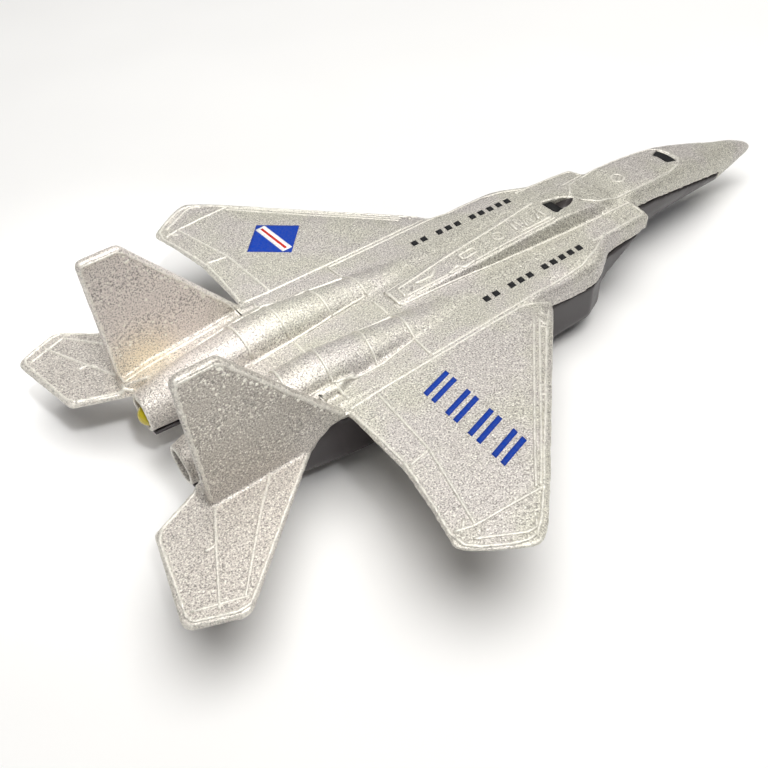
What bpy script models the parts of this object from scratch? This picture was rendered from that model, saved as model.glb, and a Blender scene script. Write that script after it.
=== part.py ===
"""Small die-cast twin-tail jet toy: metal upper casting, plastic belly, wheels, axles and screws.

+X is the nose, +Y the left wing and +Z up. The origin is midway along the length, on the
surface that the wheels stand on. Dimensions are millimetres; every mesh is scaled to metres
when its object is made. Heights in the tables below are measured from the wing's top surface,
which lies at WING_TOP above the ground.
"""
import math

import bmesh
import bpy
import numpy as np
from mathutils import Matrix, Vector

MM = 0.001

# Driving dimensions
NOSE_X = 60.0
WING_TOP = 12.5              # height of the wing's top surface above the ground
GAP = 0.3                    # clearance between pieces that touch
METAL_WALL = 1.7
PLASTIC_WALL = 1.3

TAIL_THICK = 0.9
TAIL_TOP = -2.3              # top of the tailplanes
FIN_THICK = 1.25
FIN_HEIGHT = 16.4
FIN_LEAN = 0.5               # how far each fin's tip leans inboard

NACELLE_Y = 5.3
NACELLE_R = 3.3
NOZZLE_END = -51.0
NOZZLE_ROOT = -44.0
NOZZLE_BORE = 2.1
PLUG_DOME_R = 1.45            # domed end of the exhaust plug, set low and inboard in the bore
PLUG_DOME_OFFSET = (-0.3, -0.45)
BORE_FLOOR = -45.2
NOZZLE_AXIS_Z = -2.55        # height of the nozzle's axis at its end

LOWER_REAR = -42.0
FOREBODY_FRONT = 47.6        # front end of the plastic belly under the nose
LIP_STEP_X = 24.6            # where the parting line steps up, ahead of the intake lips

AXLE_R = 0.5
AXLE_CLEARANCE = 0.15
WHEEL_R = 2.8
WHEEL_WIDTH = 2.2
WHEEL_BORE = AXLE_R + 0.1
WHEEL_Z = WHEEL_R - WING_TOP
MAIN_WHEEL_X = -20.5        # behind the centre of mass, so the toy stands on all three wheels
MAIN_WHEEL_Y = 7.8
MAIN_AXLE_HALF = 10.3
NOSE_WHEEL_X = 24.5
NOSE_AXLE_HALF = 2.7
WELL_CLEARANCE = 0.6

SCREW_X = (16.6, -12.0)
SCREW_R = 0.75
SCREW_HEAD_R = 1.5
SCREW_HEAD_HEIGHT = 0.8
BOSS_R = 2.0

# Stations along the length: x, then the value there
BODY_HALF_WIDTH = ((24.2, 8.3), (15.8, 8.6), (12.0, 11.0), (10.5, 11.65), (7.5, 12.0), (-33.0, 12.2), (-51.2, 12.6))
BODY_PARTING = ((24.2, -3.0), (16.0, -3.3), (12.0, -3.9), (8.0, -4.0), (4.0, -3.8), (0.0, -2.8),
                (-4.0, -2.2), (-32.7, -1.7), (-33.2, -1.1), (-34.7, -1.1), (-37.2, -3.75), (-45.4, -3.75), (-46.0, -3.0), (-51.2, -3.0))
DECK = ((24.2, -0.1), (8.0, 0.06), (-33.0, 0.06), (-47.0, -0.95), (-51.2, -2.1))
DECK_EDGE_DROP = ((24.2, 0.7), (20.0, 0.3), (12.0, 0.0))
SPINE_TOP = ((24.2, 0.9), (18.0, 1.4), (12.0, 2.0), (0.0, 1.3), (-14.0, 0.5), (-16.3, 0.4),
             (-16.5, 0.0))
SPINE_HALF_WIDTH = ((24.2, 4.9), (12.0, 4.2), (0.0, 3.3), (-16.3, 1.8))
NOZZLE_RADIUS = ((-44.0, 3.2), (-47.0, 3.2), (-51.0, 2.5))
NACELLE_TOP = ((-10.0, 0.0), (-31.0, 3.0), (-35.0, 3.0), (-51.0, NOZZLE_AXIS_Z + NACELLE_R))

# Forebody: x, half width, crown height, parting height, belly height
FOREBODY = ((20.0, 4.6, 0.6, -1.9, -9.6), (24.4, 4.9, 1.1, -1.7, -9.6), (30.0, 4.8, 0.9, -2.2, -9.0),
            (37.0, 4.4, 0.3, -3.4, -8.4), (42.0, 4.0, -0.5, -4.4, -8.2), (46.3, 3.6, -1.5, -5.3, -8.2),
            (48.0, 3.4, -2.0, -5.5, -8.3))
# Nose cone: x, radius, height of its centre
NOSE_CONE = ((47.9, 3.38, -5.4), (50.5, 2.8, -5.65), (54.8, 1.95, -5.95), (58.3, 1.05, -6.5),
             (59.6, 0.5, -6.85))
NOSE_TIP_Z = -7.0

# Plastic belly: x, half width, belly height
LOWER_BODY = ((14.6, 8.9, -10.0), (12.4, 10.7, -10.6), (9.6, 11.8, -10.8), (-24.5, 12.0, -10.8),
              (-30.0, 12.0, -9.9), (-35.0, 11.9, -9.0), (-38.6, 11.4, -8.6), (-42.0, 9.4, -7.6))
INTAKE_TOP_X = 22.8
INTAKE_BOTTOM_X = 15.2
INTAKE_RAKE_DEPTH = 5.4      # drop over which the intake's face slopes back
INTAKE_HALF_WIDTH = 8.2
LOWER_CORNER = 1.8

# Wing: distance from the centre plane, leading edge x, trailing edge x, thickness, leading edge height
WING = ((10.8, 0.8, -32.5, 1.6, -1.3), (12.9, 0.4, -32.5, 1.55, -1.25), (14.2, -0.6, -32.4, 1.5, -1.2), (23.5, -10.0, -32.4, 1.25, -0.75),
        (29.0, -15.5, -33.3, 1.1, -0.5), (34.4, -20.9, -34.5, 0.95, -0.25), (35.3, -21.8, -34.2, 0.9, -0.2),
        (37.3, -23.9, -31.7, 0.8, -0.15), (38.6, -25.4, -29.7, 0.7, -0.15), (39.2, -26.2, -28.6, 0.6, -0.15),
        (39.5, -26.9, -27.8, 0.5, -0.2))

# Plan outlines of the flat surfaces: x, distance from the centre plane, corner radius
TAIL_PLAN = ((-37.2, 12.3, 0), (-54.0, 26.9, 1.6), (-60.15, 24.2, 1.3), (-57.5, 12.1, 0.9),
             (-50.5, 9.2, 0), (-49.4, 7.9, 0), (-43.5, 7.9, 0))
# Inner edge of a tail boom, from the back of the fuselage to beyond the boom's end
BOOM_INNER_EDGE = ((-45.0, 8.0, 0), (-46.5, 8.0, 0), (-48.2, 8.4, 1.0), (-49.6, 9.2, 0),
                   (-52.0, 10.3, 0), (-55.0, 10.3, 0))
# Fin profile: x, height above the wing's top surface, corner radius
FIN_PROFILE = ((-32.2, -0.6, 0), (-45.4, FIN_HEIGHT, 0.9), (-50.7, FIN_HEIGHT, 0.9), (-50.9, -2.6, 0),
               (-37.6, -2.6, 0), (-34.7, -0.8, 0))
FIN_ROOT_Y = 12.3

METAL = ((0.60, 0.585, 0.55), 0.42, 0.85)
CHARCOAL = ((0.085, 0.075, 0.078), 0.55, 0.0)
YELLOW = ((0.52, 0.42, 0.01), 0.4, 0.0)
STEEL = ((0.55, 0.55, 0.56), 0.3, 1.0)
BLACK = ((0.02, 0.02, 0.02), 0.6, 0.0)


def station(x, table, column=1):
    """Value of a table's column at x, between its two nearest stations."""
    rows = sorted(table)
    return float(np.interp(x, [row[0] for row in rows], [row[column] for row in rows]))


def clear_scene():
    for obj in list(bpy.data.objects):
        bpy.data.objects.remove(obj, do_unlink=True)


def make_material(name, finish):
    colour, roughness, metallic = finish
    material = bpy.data.materials.new(name)
    material.use_nodes = True
    shader = material.node_tree.nodes["Principled BSDF"]
    shader.inputs["Base Color"].default_value = (*colour, 1.0)
    shader.inputs["Roughness"].default_value = roughness
    shader.inputs["Metallic"].default_value = metallic
    return material


def make_object(name, bm, material=None, origin=(0, 0, 0)):
    """Object from a mesh in millimetres, measured from the wing's top surface.

    The origin is in the same frame, and is where the object's own axes stand.
    """
    shift = Vector(origin)
    bmesh.ops.triangulate(bm, faces=bm.faces)
    bmesh.ops.recalc_face_normals(bm, faces=bm.faces)
    bmesh.ops.translate(bm, verts=bm.verts, vec=-shift)
    bmesh.ops.scale(bm, verts=bm.verts, vec=(MM, MM, MM))
    mesh = bpy.data.meshes.new(name)
    bm.to_mesh(mesh)
    bm.free()
    obj = bpy.data.objects.new(name, mesh)
    bpy.context.collection.objects.link(obj)
    obj.location = (shift + Vector((0, 0, WING_TOP))) * MM
    if material:
        mesh.materials.append(material)
        mesh.shade_smooth()
        mesh.set_sharp_from_angle(angle=math.radians(35))
    return obj


def combine(target, tool_mesh, operation, solver="MANIFOLD"):
    """Adds a union or a difference with a hidden tool object.

    The lofted skins meet at shallow angles, where only the manifold solver keeps them closed.
    """
    tool = make_object(f"{target.name}_tool", tool_mesh)
    tool.hide_render = True
    tool.display_type = "WIRE"
    modifier = target.modifiers.new(operation.lower(), "BOOLEAN")
    modifier.operation = operation
    modifier.solver = solver
    modifier.object = tool


def loft(rings):
    """Closed skin through rings of equally many points, with a face over each end."""
    bm = bmesh.new()
    rows = [[bm.verts.new(point) for point in ring] for ring in rings]
    for row, following in zip(rows, rows[1:]):
        for i in range(len(row)):
            j = (i + 1) % len(row)
            bm.faces.new((row[i], row[j], following[j], following[i]))
    bm.faces.new(rows[0])
    bm.faces.new(rows[-1])
    return bm


def box(low, high):
    corners = [(low[1], low[2]), (high[1], low[2]), (high[1], high[2]), (low[1], high[2])]
    return loft([[(x, y, z) for y, z in corners] for x in (low[0], high[0])])


def rounded_outline(corners, steps=4):
    """Points along a closed outline whose corners are (u, v, radius)."""
    points = []
    count = len(corners)
    for i, (u, v, radius) in enumerate(corners):
        here = Vector((u, v))
        if radius == 0:
            points.append(here)
            continue
        before = (Vector(corners[i - 1][:2]) - here).normalized()
        after = (Vector(corners[(i + 1) % count][:2]) - here).normalized()
        half = before.angle(after) / 2
        start = here + before * radius / math.tan(half)
        centre = here + (before + after).normalized() * radius / math.sin(half)
        turn = math.pi - 2 * half
        sign = math.copysign(1, before.cross(after))
        arm = start - centre
        for k in range(steps + 1):
            angle = -sign * turn * k / steps
            points.append(centre + Matrix.Rotation(angle, 2) @ arm)
    return points


def bevelled_plate(outline, place, low, high, edge):
    """Plate between two levels; place(u, v, level) gives a point, and edge is its bevel."""
    centre = sum(outline, Vector((0, 0))) / len(outline)

    def ring(level, inset):
        points = []
        for point in outline:
            towards = (centre - point).normalized() * inset
            points.append(place(*(point + towards), level))
        return points

    return loft([ring(low, edge), ring(low + edge, 0), ring(high - edge, 0), ring(high, edge)])


def turned(profile, centre, axis, segments):
    """Solid of revolution: profile is (distance along the axis, radius), closed on itself."""
    bm = bmesh.new()
    along = Vector(axis).normalized()
    side = along.orthogonal().normalized()
    across = along.cross(side)
    middle = Vector(centre)
    axis_points = {i: bm.verts.new(middle + along * d) for i, (d, r) in enumerate(profile) if r == 0}
    rows = []
    for k in range(segments):
        angle = 2 * math.pi * k / segments
        out = side * math.cos(angle) + across * math.sin(angle)
        rows.append([axis_points.get(i) or bm.verts.new(middle + along * d + out * r)
                     for i, (d, r) in enumerate(profile)])
    for row, following in zip(rows, rows[1:] + rows[:1]):
        for i in range(len(row)):
            j = (i + 1) % len(row)
            corners = list(dict.fromkeys((row[i], row[j], following[j], following[i])))
            if len(corners) > 2:
                bm.faces.new(corners)
    return bm


def rod(centre, axis, radius, low, high, segments=24):
    return turned(((low, 0.0), (low, radius), (high, radius), (high, 0.0)), centre, axis, segments)


def along_nacelle(bm):
    """Lifts a mesh made about height 0 on to the nacelle's sloping axis."""
    for vert in bm.verts:
        vert.co.z += station(vert.co.x, NACELLE_TOP) - NACELLE_R
    return bm


# Upper casting


def deck_height(x, y):
    """Height of the casting's top at a point behind the intake lips."""
    y = abs(y)
    deck = station(x, DECK)
    deck -= station(x, DECK_EDGE_DROP) * min(max((y - 5.0) / 3.3, 0.0), 1.0)
    spine_width = station(x, SPINE_HALF_WIDTH)
    fade = min(max((y / spine_width - 0.72) / 0.28, 0.0), 1.0)
    spine = (station(x, SPINE_TOP) - station(x, DECK)) * (1 - fade * fade * (3 - 2 * fade))
    height = deck + max(spine, 0.0)
    top = station(x, NACELLE_TOP)
    reach = NACELLE_R ** 2 - (y - NACELLE_Y) ** 2
    if x < NACELLE_TOP[0][0] and reach > 0:
        height = max(height, top - NACELLE_R + math.sqrt(reach))
    return height


def body_ring(x):
    half = station(x, BODY_HALF_WIDTH)
    parting = station(x, BODY_PARTING)
    inner = [0.0, 1.0, 1.9, 2.5, 3.2, 4.2, 5.3, 6.4, 7.4, 8.1]
    round_off = np.interp(x, (-1.0, 2.0), (0.0, 1.0)) * np.interp(half, (8.8, 12.0), (0.0, 1.0))
    shoulder = [(half - 0.45 - 1.3 * round_off, 0.06 + 0.04 * round_off),
                (half - 0.12 - 0.5 * round_off, 0.3 + 0.25 * round_off)]
    side = [(y, deck_height(x, y)) for y in inner]
    side += [(y, deck_height(x, y) - drop) for y, drop in shoulder]
    side += [(half, deck_height(x, half) - 0.7 - 0.6 * round_off), (half, parting)]
    left = [(x, y, z) for y, z in reversed(side)]
    right = [(x, -y, z) for y, z in side[1:]]
    return left + right


def forebody_upper_ring(x):
    half, crown, parting = (station(x, FOREBODY, column) for column in (1, 2, 3))
    depth = crown - parting
    radius_y = half * np.interp(x, (24.4, 38.0, 47.0), (0.4, 0.5, 1.0))
    radius_z = min(depth, radius_y)
    arc = [math.radians(angle) for angle in (0, 15, 30, 45, 60, 75, 90)]
    side = [(half, parting)]
    side += [(half - radius_y * (1 - math.cos(a)), crown - radius_z * (1 - math.sin(a))) for a in arc]
    side[1] = (half, min(side[1][1], parting + depth * 0.9) + 0.01)
    left = [(x, y, z) for y, z in side]
    right = [(x, -y, z) for y, z in reversed(side)]
    if side[-1][0] < 1e-6:
        return left[:-1] + [(x, 0.2, crown), (x, -0.2, crown)] + right[1:]
    return left + right


def nose_cone():
    rings = []
    for x, radius, height in NOSE_CONE:
        angles = [2 * math.pi * k / 24 for k in range(24)]
        rings.append([(x, radius * math.cos(a), height + radius * math.sin(a)) for a in angles])
    bm = loft(rings)
    tip = bm.verts.new((NOSE_X, 0, NOSE_TIP_Z))
    front = max((face for face in bm.faces if len(face.verts) > 4), key=lambda f: f.calc_center_median().x)
    edges = list(front.edges)
    bmesh.ops.delete(bm, geom=[front], context="FACES_ONLY")
    for edge in edges:
        bm.faces.new((edge.verts[0], edge.verts[1], tip))
    return bm


def wing_section(y, side):
    """Closed section of a wing: flat top with a drooping leading edge, thinning at both edges."""
    lead, trail, thick, lead_z = (station(y, WING, column) for column in (1, 2, 3, 4))
    chord = lead - trail
    nose, shoulder, flat, flap = (min(width, part * chord) for width, part in
                                  ((0.4, 0.12), (2.2, 0.28), (6.0, 0.45), (2.5, 0.3)))
    edge = thick / 3
    points = [(lead, lead_z - edge), (lead - nose, lead_z), (lead - shoulder, lead_z * 0.45),
              (lead - flat, 0.0), (trail + 0.1 * flap, 0.0), (trail, -0.4 * edge), (trail, -edge),
              (trail + flap, -thick), (lead - flat, -thick), (lead - nose, lead_z - 2 * edge)]
    return [(x, side * y, z) for x, z in points]


def wing(side):
    return loft([wing_section(row[0], side) for row in WING])


def tailplane(side):
    outline = rounded_outline(TAIL_PLAN)
    return bevelled_plate(outline, lambda u, v, level: (u, side * v, level),
                          TAIL_TOP - TAIL_THICK, TAIL_TOP, 0.2)


def between_booms():
    """Cutter for the space behind the fuselage, between the tail booms."""
    inner = rounded_outline([(-45.0, 0.0, 0), *BOOM_INNER_EDGE, (-55.0, 0.0, 0)])[1:-1]
    outline = [(p.x, p.y) for p in inner] + [(p.x, -p.y) for p in reversed(inner)]
    return loft([[(x, y, z) for x, y in outline] for z in (-5.0, 3.5)])


def fin(side):
    outline = rounded_outline(FIN_PROFILE)

    def place(u, v, level):
        lean = FIN_LEAN * max(v, 0.0) / FIN_HEIGHT
        return (u, side * (FIN_ROOT_Y - lean + level), v)

    return bevelled_plate(outline, place, -FIN_THICK / 2, FIN_THICK / 2, 0.25)


def nozzle(side):
    end, root = station(NOZZLE_END, NOZZLE_RADIUS), station(NOZZLE_ROOT, NOZZLE_RADIUS)
    profile = ((NOZZLE_END, NOZZLE_BORE), (NOZZLE_END, end - 0.1), (NOZZLE_END + 0.2, end + 0.03),
               (NOZZLE_RADIUS[1][0], root), (NOZZLE_ROOT, root), (NOZZLE_ROOT + 1, root - 0.3),
               (NOZZLE_ROOT + 1, 0.0), (BORE_FLOOR, 0.0), (BORE_FLOOR, NOZZLE_BORE))
    return along_nacelle(turned(profile, (0, side * NACELLE_Y, 0), (1, 0, 0), 28))


def upper_body(material):
    """Zinc casting: fuselage top, nose, wings, tailplanes, fins, nacelles and screw bosses."""
    stations = (24.2, 23.0, 20.0, 17.5, 15.8, 14.0, 12.0, 10.5, 9.0, 6.0, 2.0, -2.0, -6.0, -10.0, -13.0,
                -16.3, -16.5, -20.0, -24.6, -28.0, -31.0, -32.7, -33.2, -34.7, -36.0, -37.2, -40.0, -43.0,
                -45.4, -46.0, -47.0, -49.0, -51.2)
    body = make_object("upper_body", loft([body_ring(x) for x in stations]), material)
    forebody_x = (20.0, 24.4, 27.0, 30.0, 33.5, 37.0, 39.5, 42.0, 44.5, 46.3, 48.0)
    combine(body, loft([forebody_upper_ring(x) for x in forebody_x]), "UNION")
    combine(body, nose_cone(), "UNION")
    # space inside the shell, open at the bottom, and the gap between the nozzles
    combine(body, box((-30.0, -10.4, -4.5), (9.0, 10.4, -METAL_WALL)), "DIFFERENCE")
    combine(body, box((9.0, -7.0, -4.5), (22.0, 7.0, -METAL_WALL)), "DIFFERENCE")
    combine(body, between_booms(), "DIFFERENCE")
    combine(body, box((-46.0, -1.6, -5.0), (-40.5, 1.6, 2.0)), "DIFFERENCE")
    combine(body, box((-46.0, -NACELLE_Y, -5.0), (-44.2, NACELLE_Y, 3.0)), "DIFFERENCE")
    for side in (1, -1):
        for make in (nozzle, wing, tailplane, fin):
            combine(body, make(side), "UNION")
    for x in SCREW_X:
        combine(body, rod((x, 0, 0), (0, 0, 1), BOSS_R, -7.2, -1.0, 20), "UNION")
        combine(body, rod((x, 0, 0), (0, 0, 1), SCREW_R + 0.15, -9.0, -2.0, 16), "DIFFERENCE")
    combine(body, canopy_slot(), "DIFFERENCE")
    combine(body, canopy_socket(), "DIFFERENCE")
    return body


def canopy_slot():
    """Curved slot in the nose deck that takes the canopy's front tongue."""
    inner, outer, half_angle = 4.2, 6.0, math.radians(20)
    steps = [half_angle * (k / 4 - 1) for k in range(9)]
    centre_x = 31.6
    arc = [(centre_x + outer * math.cos(a), outer * math.sin(a)) for a in steps]
    arc += [(centre_x + inner * math.cos(a), inner * math.sin(a)) for a in reversed(steps)]
    return loft([[(x, y, z) for x, y in arc] for z in (-1.8, 2.0)])


def canopy_socket():
    """Tapered pocket behind the cockpit that takes the canopy's rear tongue."""
    outline = ((11.8, -1.6), (15.2, -1.0), (16.8, 0.0), (15.2, 1.0), (11.8, 1.6))
    return loft([[(x, y, z) for x, y in outline] for z in (-0.6, 3.5)])


# Plastic belly


def lower_profile(half, top, bottom):
    """Right half of a belly section from its top edge to the centre, with a round corner."""
    centre_y, centre_z = half - LOWER_CORNER, bottom + LOWER_CORNER
    corner = [(centre_y + LOWER_CORNER * math.cos(a), centre_z - LOWER_CORNER * math.sin(a))
              for a in (math.radians(d) for d in (0, 30, 60, 90))]
    return [(half, top)] + corner + [(half * 0.5, bottom)]


def lower_ring(x, inset=0.0):
    half, bottom = (station(x, LOWER_BODY, column) for column in (1, 2))
    top = station(x, BODY_PARTING) - GAP
    side = lower_profile(half - inset, top, bottom + inset)
    return [(x, y, z) for y, z in side] + [(x, -y, z) for y, z in reversed(side)]


def intake_ring():
    """Front end of the belly: the intakes' raked face."""
    top = station(INTAKE_TOP_X, BODY_PARTING) - GAP
    side = lower_profile(INTAKE_HALF_WIDTH, top, -9.6)
    slope = (INTAKE_TOP_X - INTAKE_BOTTOM_X) / INTAKE_RAKE_DEPTH

    def front(z):
        return max(INTAKE_TOP_X - (top - z) * slope, INTAKE_BOTTOM_X)

    return [(front(z), y, z) for y, z in side] + [(front(z), -y, z) for y, z in reversed(side)]


def forebody_lower_ring(x, inset=0.0):
    half, parting, bottom = (station(x, FOREBODY, column) for column in (1, 3, 4))
    if x < LIP_STEP_X:
        parting = BODY_PARTING[0][1]
    top = parting - GAP
    depth = top - bottom - inset
    angles = [math.radians(d) for d in (0, 15, 30, 45, 60, 75, 90)]
    square = np.interp(x, (26.0, 34.0), (0.75, 1.0))
    side = [((half - inset) * math.cos(a) ** square, top - depth * math.sin(a) ** square) for a in angles]
    side[-1] = (0.3, side[-1][1])
    return [(x, y, z) for y, z in side] + [(x, -y, z) for y, z in reversed(side)]


def raised(rings, height):
    """The same rings with their two top points lifted, so a cutter reaches past the rim."""
    lifted = []
    for ring in rings:
        ring = list(ring)
        for index in (0, -1):
            x, y, z = ring[index]
            ring[index] = (x, y, z + height)
        lifted.append(ring)
    return lifted


def nozzle_cradle(side):
    """Half-round trough under a nozzle."""
    angles = [math.radians(d) for d in range(242, 299, 8)]
    rings = []
    for x in (-41.0, -44.0, -47.0, -50.5):
        inner = station(x, NOZZLE_RADIUS) + GAP
        outer = inner + 0.6
        arc = [(outer * math.cos(a), outer * math.sin(a)) for a in angles]
        arc += [(inner * math.cos(a), inner * math.sin(a)) for a in reversed(angles)]
        rings.append([(x, side * (NACELLE_Y + y), z) for y, z in arc])
    return along_nacelle(loft(rings))


def lower_base(material):
    """Plastic belly: intakes, wheel wells, axle cradles, screw seats and nozzle cradles."""
    stations = (14.6, 12.4, 11.0, 9.6, 2.0, -4.0, -24.5, -30.0, -32.7, -33.2, -34.7, -36.0, -37.2, -38.6,
                -40.0, LOWER_REAR)
    rings = [intake_ring()] + [lower_ring(x) for x in stations]
    base = make_object("lower_base", loft(rings), material)
    forebody_x = (12.0, LIP_STEP_X - 0.05, LIP_STEP_X, 30.0, 34.0, 37.0, 42.0, 45.0, 46.3, FOREBODY_FRONT)
    combine(base, loft([forebody_lower_ring(x) for x in forebody_x]), "UNION")
    for side in (1, -1):
        combine(base, nozzle_cradle(side), "UNION")
    # hollow inside
    hollow_x = (8.0, 2.0, -10.0, -24.5, -30.0, -33.6, -36.4)
    combine(base, loft(raised([lower_ring(x, PLASTIC_WALL) for x in hollow_x], 2.5)), "DIFFERENCE")
    hollow_x = (7.0, 24.4, 30.0, 37.0, 43.0)
    combine(base, loft(raised([forebody_lower_ring(x, PLASTIC_WALL) for x in hollow_x], 3.5)), "DIFFERENCE")
    for side in (1, -1):
        combine(base, intake_mouth(side), "DIFFERENCE")
    wheel_wells(base)
    screw_seats(base)
    return base


def intake_mouth(side):
    low, high = sorted((side * 5.3, side * 7.4))
    return box((12.8, low, -9.0), (26.0, high, -4.9))


def wheel_wells(base):
    """Cradle bars for both axles, and the wells that the wheels turn in."""
    bottom = LOWER_BODY[3][2]
    bar_top = WHEEL_Z + 1.6
    combine(base, box((MAIN_WHEEL_X - 1.6, -11.0, bottom + 0.4), (MAIN_WHEEL_X + 1.6, 11.0, bar_top)), "UNION")
    reach = WHEEL_R + WELL_CLEARANCE
    half = WHEEL_WIDTH / 2 + 0.3
    for side in (1, -1):
        low, high = (side * MAIN_WHEEL_Y - half, side * MAIN_WHEEL_Y + half)
        combine(base, box((MAIN_WHEEL_X - reach, low, -11.0), (MAIN_WHEEL_X + reach, high, -5.5)), "DIFFERENCE")
    combine(base, axle_hole(MAIN_WHEEL_X, MAIN_AXLE_HALF), "DIFFERENCE")
    lug = 1.3
    combine(base, box((NOSE_WHEEL_X - lug, -3.1, WHEEL_Z - 1.15), (NOSE_WHEEL_X + lug, 3.1, -7.4)), "UNION")
    combine(base, box((NOSE_WHEEL_X - reach, -half, -12.0), (NOSE_WHEEL_X + reach, half, -5.5)), "DIFFERENCE")
    combine(base, axle_hole(NOSE_WHEEL_X, NOSE_AXLE_HALF), "DIFFERENCE")


def axle_hole(x, half_length):
    reach = half_length + GAP
    return rod((x, 0, WHEEL_Z), (0, 1, 0), AXLE_R + AXLE_CLEARANCE, -reach, reach, 16)


def screw_seats(base):
    for x in SCREW_X:
        combine(base, rod((x, 0, 0), (0, 0, 1), SCREW_HEAD_R + 1.2, -9.9, -7.5, 20), "UNION")
        combine(base, rod((x, 0, 0), (0, 0, 1), SCREW_R + 0.3, -11.0, -5.0, 16), "DIFFERENCE")
        combine(base, rod((x, 0, 0), (0, 0, 1), SCREW_HEAD_R + 0.3, -11.0, -9.0, 20), "DIFFERENCE")


# Small pieces


def exhaust_insert(material):
    """Plastic plug in the left nozzle's bore, with a smaller domed end that stands out of it."""
    radius = NOZZLE_BORE - GAP / 2
    shaft = ((-48.6, 0.0), (-48.6, radius), (BORE_FLOOR - GAP, radius), (BORE_FLOOR - GAP, 0.0))
    plug = make_object("exhaust_insert_left",
                       along_nacelle(turned(shaft, (0, NACELLE_Y, 0), (1, 0, 0), 28)), material)
    dome = [(-50.1 - PLUG_DOME_R * math.cos(math.radians(a)), PLUG_DOME_R * math.sin(math.radians(a)))
            for a in (0, 18, 36, 54, 72, 90)]
    dome += [(-47.5, PLUG_DOME_R), (-47.5, 0.0)]
    centre = (0, NACELLE_Y + PLUG_DOME_OFFSET[0], PLUG_DOME_OFFSET[1])
    combine(plug, along_nacelle(turned(dome, centre, (1, 0, 0), 24)), "UNION")
    return plug


def axle(name, x, half_length, material):
    chamfer = 0.15
    profile = ((-half_length, 0.0), (-half_length, AXLE_R - chamfer), (chamfer - half_length, AXLE_R),
               (half_length - chamfer, AXLE_R), (half_length, AXLE_R - chamfer), (half_length, 0.0))
    centre = (x, 0, WHEEL_Z)
    return make_object(name, turned(profile, centre, (0, 1, 0), 16), material, centre)


def wheel(name, x, y, material):
    """Plastic wheel with a dished face on both sides and a plain bore."""
    half = WHEEL_WIDTH / 2
    hub = WHEEL_BORE + 0.55
    rim = WHEEL_R - 0.65
    dish = half - 0.35
    side = ((-half, WHEEL_BORE), (-half, hub), (-dish, hub), (-dish, rim), (-half, rim),
            (-half, WHEEL_R - 0.2), (0.2 - half, WHEEL_R))
    profile = side + tuple((-d, r) for d, r in reversed(side))
    centre = (x, y, WHEEL_Z)
    return make_object(name, turned(profile, centre, (0, 1, 0), 48), material, centre)


def screw(name, x, material):
    """Self-tapping screw with a domed head and a cross recess."""
    seat = -9.0
    head_low = seat - SCREW_HEAD_HEIGHT - 0.1
    tip = -4.2
    profile = ((head_low, 0.0), (head_low, SCREW_HEAD_R - 0.5), (head_low + 0.3, SCREW_HEAD_R),
               (seat - 0.1, SCREW_HEAD_R), (seat - 0.1, SCREW_R), (tip - 0.8, SCREW_R), (tip, 0.0))
    centre = (x, 0, 0)
    body = make_object(name, turned(profile, centre, (0, 0, 1), 20), material)
    for half_x, half_y in ((0.9, 0.18), (0.18, 0.9)):
        low, high = (x - half_x, -half_y, head_low - 0.5), (x + half_x, half_y, head_low + 0.45)
        combine(body, box(low, high), "DIFFERENCE", "EXACT")
    return body


def main():
    clear_scene()
    metal = make_material("silver_casting", METAL)
    charcoal = make_material("charcoal_plastic", CHARCOAL)
    yellow = make_material("yellow_plastic", YELLOW)
    steel = make_material("steel", STEEL)
    black = make_material("black_plastic", BLACK)
    upper_body(metal)
    lower_base(charcoal)
    exhaust_insert(yellow)
    axle("main_axle", MAIN_WHEEL_X, MAIN_AXLE_HALF, steel)
    axle("nose_axle", NOSE_WHEEL_X, NOSE_AXLE_HALF, steel)
    wheel("main_wheel_left", MAIN_WHEEL_X, MAIN_WHEEL_Y, black)
    wheel("main_wheel_right", MAIN_WHEEL_X, -MAIN_WHEEL_Y, black)
    wheel("nose_wheel", NOSE_WHEEL_X, 0.0, black)
    for name, x in zip(("front_screw", "rear_screw"), SCREW_X):
        screw(name, x, steel)


main()
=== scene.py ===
"""Looks of a small die-cast jet toy: cast metal top, plastic belly, wheels and printed marks.

Lengths are millimetres until a mesh is made. Heights (z) are measured from the wing's top
surface, which stands WING_TOP above the floor. +X is the nose and +Y the left wing.
"""
import math
import random

import bmesh
import bpy
import numpy as np
from mathutils import Matrix, Vector, noise
from mathutils.bvhtree import BVHTree


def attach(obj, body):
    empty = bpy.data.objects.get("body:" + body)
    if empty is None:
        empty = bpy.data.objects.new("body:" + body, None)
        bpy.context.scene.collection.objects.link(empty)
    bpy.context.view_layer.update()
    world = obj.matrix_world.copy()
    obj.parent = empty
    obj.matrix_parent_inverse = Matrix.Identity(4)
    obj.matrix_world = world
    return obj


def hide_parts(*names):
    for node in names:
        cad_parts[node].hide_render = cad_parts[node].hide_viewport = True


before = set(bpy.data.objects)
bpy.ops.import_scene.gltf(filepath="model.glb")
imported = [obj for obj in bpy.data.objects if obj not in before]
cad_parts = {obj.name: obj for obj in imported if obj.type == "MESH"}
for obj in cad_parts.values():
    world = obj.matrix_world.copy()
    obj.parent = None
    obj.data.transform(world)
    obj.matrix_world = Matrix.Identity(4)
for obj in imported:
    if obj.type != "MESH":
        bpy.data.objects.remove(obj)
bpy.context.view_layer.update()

MM = 0.001
WING_TOP = 12.5
NACELLE_Y = 5.3
NACELLE_R = 3.3
NOZZLE_BORE = 2.1
PLUG_DOME_R = 1.45
PLUG_DOME_OFFSET = (-0.3, -0.45)
BORE_FLOOR = -45.2
WHEEL_R = 2.8
WHEEL_HALF = 1.1
AXLE_HOLE = 0.6
SKIN_VOXEL = 0.22
BELLY_VOXEL = 0.25
FIN_TOP_SLOPE = -1.3
FIN_CORNER_X = -45.0

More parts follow.
